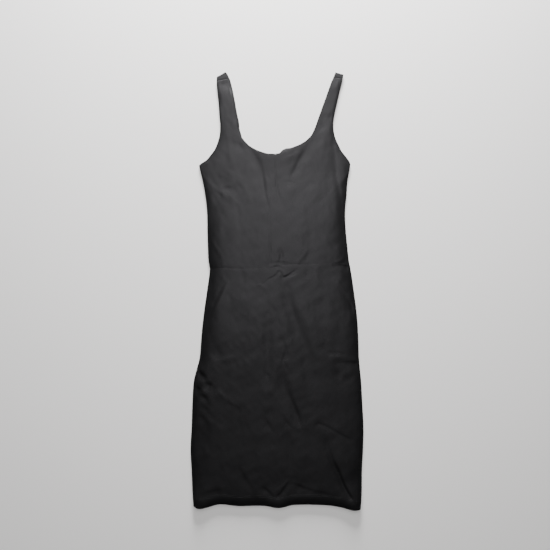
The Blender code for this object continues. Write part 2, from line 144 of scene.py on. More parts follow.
# Creases in millimetres, each a row of points: x, y, depth (below 0) or height, half width
bodice_creases = (
    ((-24, 258, 0.2, 3), (-21, 232, 0.3, 3), (-17, 206, 0.2, 3)),
    ((73, 336, -0.3, 6), (65, 321, -0.8, 7), (56, 305, -1.0, 7), (47, 288, -0.9, 5.4),
     (38, 272, -0.6, 4.4), (33, 262, -0.2, 3.6)),
    ((-3.5, 294, -0.15, 2), (-2.5, 268, -0.35, 2.2), (-1.5, 244, -0.45, 2.2), (2, 226, -0.4, 2.4),
     (6, 213, -0.15, 2.6)),
    ((-44, 322, 0.5, 9), (-22, 312, 1.3, 9), (0, 310, 1.6, 9), (26, 317, 1.4, 9),
     (48, 328, 0.5, 9)),
    ((14, 301, 0.1, 3), (30, 307, 0.25, 3), (46, 316, 0.1, 3)),
    ((16, 250, -0.2, 3), (28, 249, -0.3, 3), (38, 246, -0.2, 3)),
    ((-98, 337, -0.3, 5), (-88, 334, -0.6, 6), (-80, 324, -0.5, 6), (-74, 316, -0.2, 5)),
    ((-126, 231, -0.2, 4), (-114, 234, -0.7, 4), (-104, 236, -0.6, 4), (-98, 242, -0.2, 4)),
    ((-94, 249, -0.1, 3.6), (-87, 240, -0.3, 3.6), (-80, 231, -0.1, 3.6)),
    ((-137, 223, -0.3, 5), (-130, 217, -0.7, 6), (-124, 214, -0.2, 5)),
    ((-116, 227, 0.15, 4), (-103, 212, 0.35, 4.5), (-89, 198, 0.15, 4.5)),
    ((-112, 270, 0.2, 8), (-99, 264, 0.45, 9), (-86, 258, 0.2, 8)),
    ((-139, 262, -0.3, 7), (-131, 256, -0.6, 7), (-122, 257, -0.3, 7)),
    ((127, 331, -0.3, 5), (132, 300, -0.5, 5), (136, 262, -0.6, 5), (140, 238, -0.6, 5),
     (144, 214, -0.5, 6), (147, 185, -0.3, 7), (148, 150, -0.2, 8)),
    ((147, 291, 0.2, 3.4), (153, 279, 0.4, 3.4), (158, 268, 0.2, 3.4)),
    ((92, 266, 0.05, 3), (112, 267, 0.1, 3), (134, 264, 0.05, 3)),
    ((100, 252, 0.05, 3), (120, 251, 0.12, 3), (140, 254, 0.05, 3)),
    ((-150, 118, 0.15, 3), (-138, 100, 0.3, 3), (-126, 82, 0.15, 3)),
    ((90, 361, 0.2, 9), (108, 360, 0.45, 10), (126, 358, 0.2, 9)),
    ((96, 398, -0.3, 5), (114, 397, -0.8, 5), (131, 394, -0.6, 5)),
    ((-139, 472, -0.4, 6), (-124, 470, -0.8, 6), (-110, 474, -0.5, 6)),
)
# Those that reach the waist seam, which the bodice and the skirt share
waist_creases = (
    ((-64, 329, -0.3, 6), (-56, 314, -0.7, 7), (-47, 299, -0.8, 7), (-39, 283, -0.7, 5.4),
     (-33, 264, -0.6, 4), (-30, 240, -0.5, 3), (-26, 217, -0.35, 3), (-20, 194, -0.3, 3),
     (-18, 172, -0.35, 4), (-16, 145, -0.35, 4), (-16, 118, -0.35, 2.6), (-15.5, 90, -0.45, 2.4),
     (-15, 66, -0.2, 2.4)),
    ((6, 100, -0.2, 4.4), (10, 84, -0.9, 4.4), (8, 68, -0.4, 4.4)),
    ((45, 66, 0.1, 2.6), (55, 76, 0.25, 2.6), (66, 90, 0.1, 2.6)),
    ((52, 63, -0.1, 2.6), (63, 74, -0.2, 2.6), (73, 92, -0.1, 2.6)),
    ((132, 66, 0.15, 2.6), (142, 70, 0.3, 2.6), (152, 78, 0.15, 2.6)),
    ((132, 62, -0.2, 2.6), (146, 64, -0.5, 3), (160, 72, -0.4, 3)),
    ((-14, 64, -0.15, 2), (0, 66, -0.35, 2), (16, 65.5, -0.35, 2), (30, 63, -0.15, 2)),
    ((-152, 110, -0.1, 4), (-140, 90, -0.25, 4), (-128, 68, -0.1, 4)),
    ((-32, 16, -0.1, 2.2), (-25, 22, -0.25, 2.2), (-16, 29, -0.45, 2.2), (-7, 33.5, -0.45, 2.2),
     (2, 41, -0.35, 2), (5, 45, -0.2, 2)),
    ((3, 46, -0.3, 2.2), (8, 43, -0.5, 2.2), (13, 33, -0.7, 1.9), (19, 33, -0.8, 1.9),
     (28, 38, -0.6, 1.9), (38, 45, -0.4, 2.2), (44, 50, -0.2, 2)),
    ((18, 28, 0.1, 2.2), (30, 31, 0.25, 2.2), (42, 38, 0.1, 2.2)),
    ((-16, 52, -0.2, 2.4), (-3, 55, -0.4, 2.4), (9, 54, -0.4, 2.4), (17, 49, -0.2, 2.4)),
    ((130, 58, -0.2, 2.4), (146, 58, -0.7, 2.6), (160, 55, -1.2, 2.8), (168, 52, -0.8, 2.8)),
)
SLACK = 2.2                      # below a crease the cloth is this much slower to come level
SMOOTHING = 6                    # short straight lines from each point of a crease to the next


def curve(xs, ys, at):
    """A smooth curve through points, read at many places and held level past both ends."""
    at = np.asarray(at, float)
    low = np.maximum(np.arange(len(xs)) - 1, 0)
    high = np.minimum(np.arange(len(xs)) + 1, len(xs) - 1)
    slope = (ys[high] - ys[low]) / (xs[high] - xs[low])
    i = np.clip(np.searchsorted(xs, at) - 1, 0, len(xs) - 2)
    step = xs[i + 1] - xs[i]
    t = np.clip((at - xs[i]) / step, 0, 1)
    return (ys[i] * (1 + 2 * t) * (1 - t) ** 2 + slope[i] * step * t * (1 - t) ** 2
            + ys[i + 1] * t * t * (3 - 2 * t) - slope[i + 1] * step * t * t * (1 - t))


def ease(x, start, end):
    """A smooth step from 0 at start to 1 at end."""
    t = np.clip((x - start) / (end - start), 0, 1)
    return t * t * (3 - 2 * t)


def bell(x, width):
    """1 at the middle, about a third at width, and soon nothing."""
    return np.exp(-(x / width) ** 2)


def nearest_on(x, y, start, end):
    """Which share of a straight line is nearest to each place, and how far away it is."""
    (x0, y0), (x1, y1) = start, end
    run_x, run_y = x1 - x0, y1 - y0
    t = np.clip(((x - x0) * run_x + (y - y0) * run_y) / (run_x ** 2 + run_y ** 2), 0, 1)
    return t, np.hypot(x - x0 - t * run_x, y - y0 - t * run_y)


def creases(x, y, table):
    """Height of a table of creases, each smoothed along its points and fading at its ends.

    Each is steeper above its line than below it, because the cloth has slid towards the hem.
    """
    height = np.zeros_like(x)
    for points in table:
        points = np.array(points) / 1000
        number = np.arange(len(points)).astype(float)
        fine = np.linspace(0, number[-1], SMOOTHING * (len(points) - 1) + 1)
        path = np.stack([curve(number, points[:, i], fine) for i in range(4)], 1)
        nearest = np.full_like(x, np.inf)
        depth, width, below = np.zeros_like(x), np.ones_like(x), np.zeros_like(x)
        for (x0, y0, d0, w0), (x1, y1, d1, w1) in zip(path, path[1:]):
            t, away = nearest_on(x, y, (x0, y0), (x1, y1))
            depth = np.where(away < nearest, d0 + (d1 - d0) * t, depth)
            width = np.where(away < nearest, w0 + (w1 - w0) * t, width)
            down = np.clip((y0 + t * (y1 - y0) - y) / np.maximum(away, 1e-9), 0, 1)
            below = np.where(away < nearest, down, below)
            nearest = np.minimum(away, nearest)
        height += depth * bell(nearest, width * (1 + SLACK * below))
    return height


def path_distance(x, y, path):
    """How far each place is from a path of points."""
    nearest = np.full_like(x, np.inf)
    for start, end in zip(path, path[1:]):
        nearest = np.minimum(nearest, nearest_on(x, y, start, end)[1])
    return nearest


WAVES = 26                       # the waviness of smoothed knit is the sum of this many waves
LONGEST_WAVE = 0.085
SHORTEST_WAVE = 0.012
WAVE_SLOPE = 0.011               # how steep each is
WAVE_TURN = 0.7                  # how far their directions spread, in radians
PATCH = 2.7                      # each comes and goes over this many of its own lengths


def unevenness(x, y):
    """The slight waviness of knit that has been laid down by hand and smoothed."""
    chance = np.random.default_rng(23)
    height = np.zeros_like(x)
    for wavelength in np.geomspace(LONGEST_WAVE, SHORTEST_WAVE, WAVES):
        phase, patch_phase = chance.uniform(0, 2 * math.pi, 2)
        turn = chance.normal(0, WAVE_TURN)
        along = x * math.cos(turn) + y * math.sin(turn)
        across = y * math.cos(turn) - x * math.sin(turn)
        patch = 0.5 + 0.5 * np.sin(2 * math.pi * across / (PATCH * wavelength) + patch_phase)
        height += (WAVE_SLOPE * wavelength / (2 * math.pi) * patch
                   * np.sin(2 * math.pi * along / wavelength + phase))
    return height


def half_panel(side, middle, columns, rolled=1.0, inset=0.0, tube=0.0, width=0.01):
    """One half of a panel as rows of points that run from the side to the middle.

    Its side fold is an armhole's narrow one where tube is 0, and the dress's round one, width
    wide, where it is 1. Where rolled is 0 there is no fold, and the cloth ends inset in from the
    side. It gives x, y, how far the fold has dropped and from what height, how far in from the
    side a point is, and the place across the flat cloth.
    """
    side, middle = np.asarray(side, float), np.asarray(middle, float)
    rolled, inset, tube, width = (
        np.broadcast_to(np.asarray(value, float), side.shape[:1])[:, None]
        for value in (rolled, inset, tube, width))
    reach = ROLL + (SIDE_REACH - ROLL) * tube
    angle = np.linspace(math.pi / 2, 0, FOLD_COLUMNS + 1)[:-1]
    out = reach * np.sin(np.append(math.pi / 2, angle))
    left_over = np.exp(-reach / width)
    round_drop = (np.exp((out[:, 1:] - reach) / width) - left_over) / (1 - left_over)
    drop = (ROLL * (1 - np.cos(angle)) * (1 - tube) + SIDE_SLOPE * width * round_drop * tube)
    drop = np.concatenate((drop[:, :1] + LIP, drop), 1)
    run = np.hypot(np.diff(out, append=0), np.diff(drop, append=0))
    flat = run[:, ::-1].cumsum(1)[:, ::-1]
    inward = middle - side
    inward /= np.linalg.norm(inward, axis=1, keepdims=True)
    begin = side + inward * (reach + (flat[:, :1] - reach + inset) * (1 - rolled))
    length = np.linalg.norm(middle - begin, axis=1, keepdims=True)
    share = 1 - np.linspace(1, 0, columns + 1) ** CROWDING
    along = np.concatenate((-(flat + (out - flat) * rolled), share * length), 1)
    x = begin[:, :1] + inward[:, :1] * along
    y = begin[:, 1:] + inward[:, 1:] * along
    dropped = np.concatenate((drop * rolled, 0 * share * length), 1)
    top = drop[:, :1] + 0 * dropped
    inside = np.concatenate((reach - out, reach + share * length), 1)
    cloth_x = np.concatenate((begin[:, :1] - inward[:, :1] * flat, x[:, flat.shape[1]:]), 1)
    return x, y, dropped, top, inside, cloth_x


def level_panel(sides, middle_x, y_at, columns, **fold):
    """Both halves of a panel whose rows run across the dress, where y_at gives y at x.

    A row's y depends on x and its side's x on y, so the side is found in a few rounds.
    """
    halves = []
    for edge in (1, 2):
        x = middle_x
        for _ in range(4):
            x = curve(sides[:, 0], sides[:, edge], y_at(x[:, None])[:, 0])
        flat = np.zeros_like(x)
        width = curve(side_folds[:, 0], side_folds[:, edge], y_at(x[:, None])[:, 0])
        half = half_panel(np.stack((x, flat), 1), np.stack((middle_x, flat), 1), columns,
                          width=width, **fold)
        halves.append((half[0], y_at(half[0]), *half[2:]))
    return halves


def whole(halves):
    """A left and a right half as one grid, from the left side to the right side."""
    return [np.concatenate((left, right[:, ::-1][:, 1:]), 1) for left, right in zip(*halves)]


# The waist seam's x and y
waist_points = np.array((
    (-0.156, 0.0505), (-0.120, 0.0530), (-0.085, 0.0515), (-0.025, 0.0530),
    (0.015, 0.0600), (0.060, 0.0610), (0.150, 0.0620), (0.167, 0.0590),
))
WAIST_DIP = 0.00012              # the waist seam draws the front down
WAIST_DIP_WIDTH = 0.0029
WAIST_CHANGE = 0.6               # the dip deepens and fades by this share along the seam,
WAIST_WAVES = 45                 # in waves of this many radians a metre
CROWN = 0.0018                   # in from the armholes the front rises this much more
CROWN_WIDTH = 0.012              # over this width, and on the straps over less
STRAP_CROWN_WIDTH = 0.005
STRAP_FROM = 0.33                # y at which the straps begin, and where they are full straps
STRAP_FULL = 0.39
SETTLES = 0.0006                 # the front settles this much from its side folds to the middle
SETTLE_WIDTH = 0.070
SOFT_FROM = 0.003                # creases begin this far in from a side, and are whole here
SOFT_TO = 0.010
NECK_NOSE = 0.0008               # radius of the fold at the neck edge
neck_edge = np.concatenate((left_strap[::-1, 2:4], right_strap[1:, 2:4]))


def waist_seam(x):
    """y of the waist seam."""
    return curve(waist_points[:, 0], waist_points[:, 1], x)


def front_height(x, y, dropped, top, inside, seam, tube, flat, table):
    """Outer face of a front panel, as high as the cloth under it and the creases make it."""
    soft = ease(inside, SOFT_FROM, SOFT_TO)
    edge = path_distance(x, y, neck_edge)
    narrower = ease(y, STRAP_FROM, STRAP_FULL)
    crown_width = CROWN_WIDTH + (STRAP_CROWN_WIDTH - CROWN_WIDTH) * narrower
    past_middle = top - (top[:, :1] + top[:, -1:]) / 2
    height = (seam + top - dropped
              + (1 - tube) * (1 - flat) * CROWN * (1 - np.exp(-inside / crown_width))
              - (past_middle + tube * SETTLES) * (1 - bell(inside, SETTLE_WIDTH)))
    uneven_dip = WAIST_DIP * (1 + WAIST_CHANGE * np.sin(WAIST_WAVES * x))
    dip = uneven_dip * bell(y - waist_seam(x), WAIST_DIP_WIDTH)
    free = height + soft * (creases(x, y, table + waist_creases) + unevenness(x, y) - dip)
    nose = NECK_NOSE - np.sqrt(NECK_NOSE ** 2 - np.maximum(NECK_NOSE - edge, 0) ** 2)
    free -= (1 - flat) * nose
    return np.where(inside > SOFT_FROM, np.clip(free, 2 * CLOTH + GAP, HIGHEST), height)


SEWN = 0.00002                   # points closer than this become one
CUT_EDGE = 0.00028               # how far a cut edge is rounded
CUT_ANGLE = 62                   # an edge is a cut one where the cloth turns by more degrees


def cloth_grid(name, x, y, z, cloth_x):
    """A grid of cloth with a vertex at each point, and a flat pattern in metres as its UV map."""
    bpy.ops.object.select_all(action="DESELECT")
    bpy.ops.mesh.primitive_grid_add(x_subdivisions=x.shape[1] - 1, y_subdivisions=x.shape[0] - 1)
    piece = bpy.context.object
    piece.name = piece.data.name = name
    mesh = piece.data
    mesh.vertices.foreach_set("co", np.stack((x, y, z), -1).ravel())
    corners = np.empty(len(mesh.loops), int)
    mesh.loops.foreach_get("vertex_index", corners)
    pattern = np.stack((cloth_x, y), -1).reshape(-1, 2)[corners]
    mesh.uv_layers[0].data.foreach_set("uv", pattern.ravel())
    mesh.update()
    return piece


def sew(name, grids):
    """Grids that share an edge as one piece of cloth."""
    bpy.ops.object.select_all(action="DESELECT")
    for grid in grids:
        grid.select_set(True)
    bpy.context.view_layer.objects.active = grids[0]
    if len(grids) > 1:
        bpy.ops.object.join()
    piece = bpy.context.object
    piece.name = piece.data.name = name
    bpy.ops.object.mode_set(mode="EDIT")
    bpy.ops.mesh.select_all(action="SELECT")
    bpy.ops.mesh.remove_doubles(threshold=SEWN)
    bpy.ops.object.mode_set(mode="OBJECT")
    return piece


def thicken(piece, wall, material, faces_up=True, group=""):
    """Give the cloth its wall, inwards from the outer face, and round its cut edges."""
    if not faces_up:
        piece.data.flip_normals()
    bpy.ops.object.select_all(action="DESELECT")
    piece.select_set(True)
    bpy.context.view_layer.objects.active = piece
    solid = piece.modifiers.new("wall", "SOLIDIFY")
    solid.thickness = wall
    solid.offset = -1
    solid.vertex_group = group
    bpy.ops.object.modifier_apply(modifier=solid.name)
    rounding = piece.modifiers.new("edges", "BEVEL")
    rounding.width = CUT_EDGE
    rounding.segments = 2
    rounding.limit_method = "ANGLE"
    rounding.angle_limit = math.radians(CUT_ANGLE)
    bpy.ops.object.modifier_apply(modifier=rounding.name)
    bpy.ops.object.shade_smooth()
    piece.data.materials.clear()
    piece.data.materials.append(material)
    return piece


class Value:
    """A shader socket that adds and multiplies as a number does."""

    def __init__(self, material, socket):
        self.material, self.socket = material, socket

    def math(self, operation, *others):
        return add_node(self.material, "Math", {"operation": operation}, [self, *others])

    def __add__(self, other):
        return self.math("ADD", other)

    def __sub__(self, other):
        return self.math("SUBTRACT", other)

    def __rsub__(self, other):
        return add_node(self.material, "Math", {"operation": "SUBTRACT"}, [other, self])

    def __mul__(self, other):
        return self.math("MULTIPLY", other)

    def __truediv__(self, other):
        return self.math("DIVIDE", other)

    __radd__, __rmul__ = __add__, __mul__


def add_node(material, kind, settings, sockets, output=0):
    """Add a shader node, with its settings first and then a value or a link for each socket."""
    tree = material.node_tree
    node = tree.nodes.new("ShaderNode" + kind)
    for name, setting in settings.items():
        setattr(node, name, setting)
    for name, value in (sockets.items() if isinstance(sockets, dict) else enumerate(sockets)):
        if isinstance(value, Value):
            tree.links.new(value.socket, node.inputs[name])
        else:
            node.inputs[name].default_value = value
    return Value(material, node.outputs[output])


WALE = 0.00090                   # width of a column of stitches
COURSE = 0.00070                 # height of a row of stitches
STITCH_RELIEF = 0.00003
CLOUDS = 38.0                    # soft patches where the knit lies smoother or rougher
FUZZ = 900.0                     # loose fibres
DARK = (0.0030, 0.0030, 0.0032, 1)
LIGHT = (0.0060, 0.0060, 0.0063, 1)
knit = bpy.data.materials.new("black double knit")
knit.use_nodes = True
surface = knit.node_tree.nodes["Principled BSDF"]
surface.inputs["Metallic"].default_value = 0.0
surface.inputs["Specular IOR Level"].default_value = 0.25
surface.inputs["Specular Tint"].default_value = (0.98, 0.95, 1.0, 1)
pattern = add_node(knit, "TexCoord", {}, {}, "UV")
across = add_node(knit, "SeparateXYZ", {}, {0: pattern}, "X")
along = add_node(knit, "SeparateXYZ", {}, {0: pattern}, "Y")
off_centre = ((across / WALE).math("FRACT") - 0.5).math("ABSOLUTE") * 2
loops = ((along / COURSE + off_centre * 0.5) * (2 * math.pi)).math("SINE") * 0.5 + 0.5
stitches = (1 - off_centre * off_centre) * (loops * 0.5 + 0.5)
place = add_node(knit, "TexCoord", {}, {}, "Object")
cloudy = add_node(knit, "TexNoise", {}, {"Vector": place, "Scale": CLOUDS, "Detail": 3.0}, "Fac")
fuzz = add_node(knit, "TexNoise", {}, {"Vector": place, "Scale": FUZZ, "Detail": 2.0}, "Fac")
# The black is a little lighter in the clouds and on the fibres; over the stitches it is painted
# lighter on their crowns and darker between them, as painted highlight and painted shade
mottle_and_stitch_shade = (cloudy * 0.7 + fuzz * 0.3 + stitches * 0.25) * 0.8
tone = add_node(knit, "Mix", {"data_type": "RGBA"}, {"Factor": mottle_and_stitch_shade, 6: DARK, 7: LIGHT}, 2)
knit.node_tree.links.new(tone.socket, surface.inputs["Base Color"])
rough = cloudy * 0.08 + 0.42
knit.node_tree.links.new(rough.socket, surface.inputs["Roughness"])
relief = add_node(knit, "Bump", {}, {
    "Height": stitches + fuzz * 0.6, "Strength": 1.0, "Distance": STITCH_RELIEF}, "Normal")
knit.node_tree.links.new(relief.socket, surface.inputs["Normal"])

FRONT_COLUMNS = 56               # columns of the mesh from a side fold to the middle
BODICE_ROWS = 104
STRAP_ROWS = 78
STRAP_END = 1.5                  # a strap lies level over this many rows of its table at its end
BACK_NECK_DEPTH = 0.005          # the back's neck edge is this much lower than the front's
BACK_INSET = 0.0015              # where they don't roll up, the back's sides lie this far inside
CHEST_FROM = 0.45                # shares of the bodice's height between which the side's round
CHEST_TO = 0.95                  # fold narrows to the armhole's
ROLL_FROM = 0.60                 # from here up the back's sides roll less, down to none


def chest_tube(share):
    """How far the front's side fold is the round one, from the waist up to the armholes."""
    return 1 - ease(share, CHEST_FROM, CHEST_TO)


def side_roll(share):
    """How far the back's sides roll up, from the waist up to the armholes."""
    return 1 - ease(share, ROLL_FROM, 1.0)


def back_neck(table, strap_number, turn):
    """The back's neck edge along a strap, which comes out past the front's in places.

    turn is 1 on the left strap and -1 on the right one, where outwards is the other way.
    """
    rows = np.arange(len(table)).astype(float)
    before, neck, after = (
        np.stack([curve(rows, table[:, i], strap_number + step) for i in (2, 3)], 1)
        for step in (-0.1, 0.0, 0.1))
    run = (after - before) / np.linalg.norm(after - before, axis=1, keepdims=True)
    outwards = np.stack((run[:, 1], -run[:, 0]), 1) * turn
    return neck + outwards * curve(rows, table[:, 4], strap_number)[:, None]


def bodice_grids(name, columns, body_share, strap_number, is_front, heights):
    """The bodice's body and its two straps as grids that share their edges."""
    neck_x, neck_y = NECK_POINT
    if not is_front:
        neck_y -= BACK_NECK_DEPTH
    share = np.asarray(body_share)[:, None]

    def y_at(x):
        arm = np.where(x[..., None] < neck_x, left_strap[0, :2], right_strap[0, :2])
        top = neck_y + (arm[..., 1] - neck_y) * (x - neck_x) / (arm[..., 0] - neck_x)
        return waist_seam(x) + GAP / 2 + (top - waist_seam(x) - GAP / 2) * share

    if is_front:
        fold = {"tube": chest_tube(share[:, 0])}
    else:
        fold = {"rolled": side_roll(share[:, 0]), "inset": BACK_INSET}
    halves = level_panel(bodice_sides, neck_x * share[:, 0], y_at, columns, **fold)
    body = whole(halves)
    grids = [cloth_grid(name, body[0], body[1], heights(*body[:5], share, None), body[5])]
    rows = np.arange(len(left_strap)).astype(float)
    for side, table in (("left", left_strap), ("right", right_strap)):
        arm = np.stack([curve(rows, table[:, i], strap_number) for i in (0, 1)], 1)
        neck = np.stack([curve(rows, table[:, i], strap_number) for i in (2, 3)], 1)
        flat = ease(strap_number, SHOULDER_ROW - STRAP_END, SHOULDER_ROW)
        if is_front:
            half = half_panel(arm, neck, columns, 1 - flat)
        else:
            shown = back_neck(table, strap_number, 1 if side == "left" else -1)
            shown[0] = neck_x, neck_y
            half = half_panel(arm, shown, columns, 0.0, BACK_INSET * (1 - flat))
        half = list(half)
        z = heights(*half[:5], None, flat[:, None])
        top = halves[side == "right"]
        for part, first in zip((*half, z), (*top, heights(*top[:5], share, None))):
            part[0] = first[-1]
        if side == "right":
            half, z = [part[:, ::-1] for part in half], z[:, ::-1]
        grids.append(cloth_grid(f"{name}_{side}", half[0], half[1], z, half[5]))
    return grids


def bodice_front_height(x, y, dropped, top, inside, share, flat):
    """Outer face of the bodice front, or of its straps where flat says how level they lie."""
    if flat is None:
        seam = ARMHOLE_EDGE + (SIDE_SEAM - ARMHOLE_EDGE) * side_roll(share)
        tube = chest_tube(share)
        return front_height(x, y, dropped, top, inside, seam, tube, 0.0, bodice_creases)
    seam = ARMHOLE_EDGE * (1 - flat) + (2 * STRAP_FOLD - LIP - ROLL) * flat
    return front_height(x, y, dropped, top, inside, seam, 0.0, flat, bodice_creases)


# Shares of the bodice's height, close together at the waist seam
body_share = np.concatenate(([0, 0.0015, 0.005], np.linspace(0.012, 1, BODICE_ROWS)))
strap_number = np.linspace(0, SHOULDER_ROW, STRAP_ROWS + 1)
bodice_front = sew("bodice_front_cloth", bodice_grids(
    "bodice_front_cloth", FRONT_COLUMNS, body_share, strap_number, True, bodice_front_height))
thicken(bodice_front, CLOTH, knit)
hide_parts("bodice_front")
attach(bodice_front, "root")

# Skirt front
# The lower front in the same knit, joined to the bodice at the waist seam. Its hem is turned up
# 25 mm and stitched, so the cloth is double there and its edge is a soft fold.
HEM_DEPTH = 0.025
HEM_STEP = 0.0008                # the doubled cloth ends within this length on either side of it
HEM_RISE = 0.0016                # the stitched line stands off the surface
RISE_BELOW = 0.020
RISE_ABOVE = 0.040
HEM_DROP = 0.0024                # the front's hem edge rounds down onto the back's
DROP_REACH = 0.019               # from this far up,
HEM_DROP_FROM_SIDE = 0.045       # and wholly from this far in
HEM_NOSE = 0.0011                # radius of the fold at the hem's edge
SINGLE_TO = 0.008                # the hem is single cloth up to here from a side seam, where the
DOUBLE_FROM = 0.011              # seam pulls it thin, and double from here
BACK_FREE = 0.045                # the back's creases are whole this far in from its sides
SKIRT_ROWS = 215
WAIST_ROWS = 44                  # rows close together over the top of the skirt,
WAIST_ROWS_DEEP = 0.062          # which is this deep
# y, left edge and right edge of the skirt
skirt_sides = np.array((
    (-0.4985, -0.1895, 0.1900), (-0.4600, -0.1925, 0.1930), (-0.4100, -0.1950, 0.1940),
    (-0.3600, -0.1975, 0.1965), (-0.3100, -0.1950, 0.1975), (-0.2500, -0.1930, 0.1945),
    (-0.2050, -0.1900, 0.1920), (-0.1750, -0.1825, 0.1890), (-0.1500, -0.1765, 0.1870),
    (-0.1000, -0.1725, 0.1855), (-0.0500, -0.1670, 0.1820), (0.0000, -0.1600, 0.1755),
    (0.0350, -0.1550, 0.1705), (0.0620, -0.1520, 0.1660),
))
# The hem edge's x and y
hem_points = np.array((
    (-0.1900, -0.4900), (-0.1770, -0.4950), (-0.1550, -0.4915), (-0.1310, -0.4860),
    (-0.0900, -0.4900), (-0.0300, -0.4895), (0.0040, -0.4940), (0.0400, -0.4875),
    (0.1150, -0.4885), (0.1500, -0.4935), (0.1750, -0.4985), (0.1900, -0.4970),
))
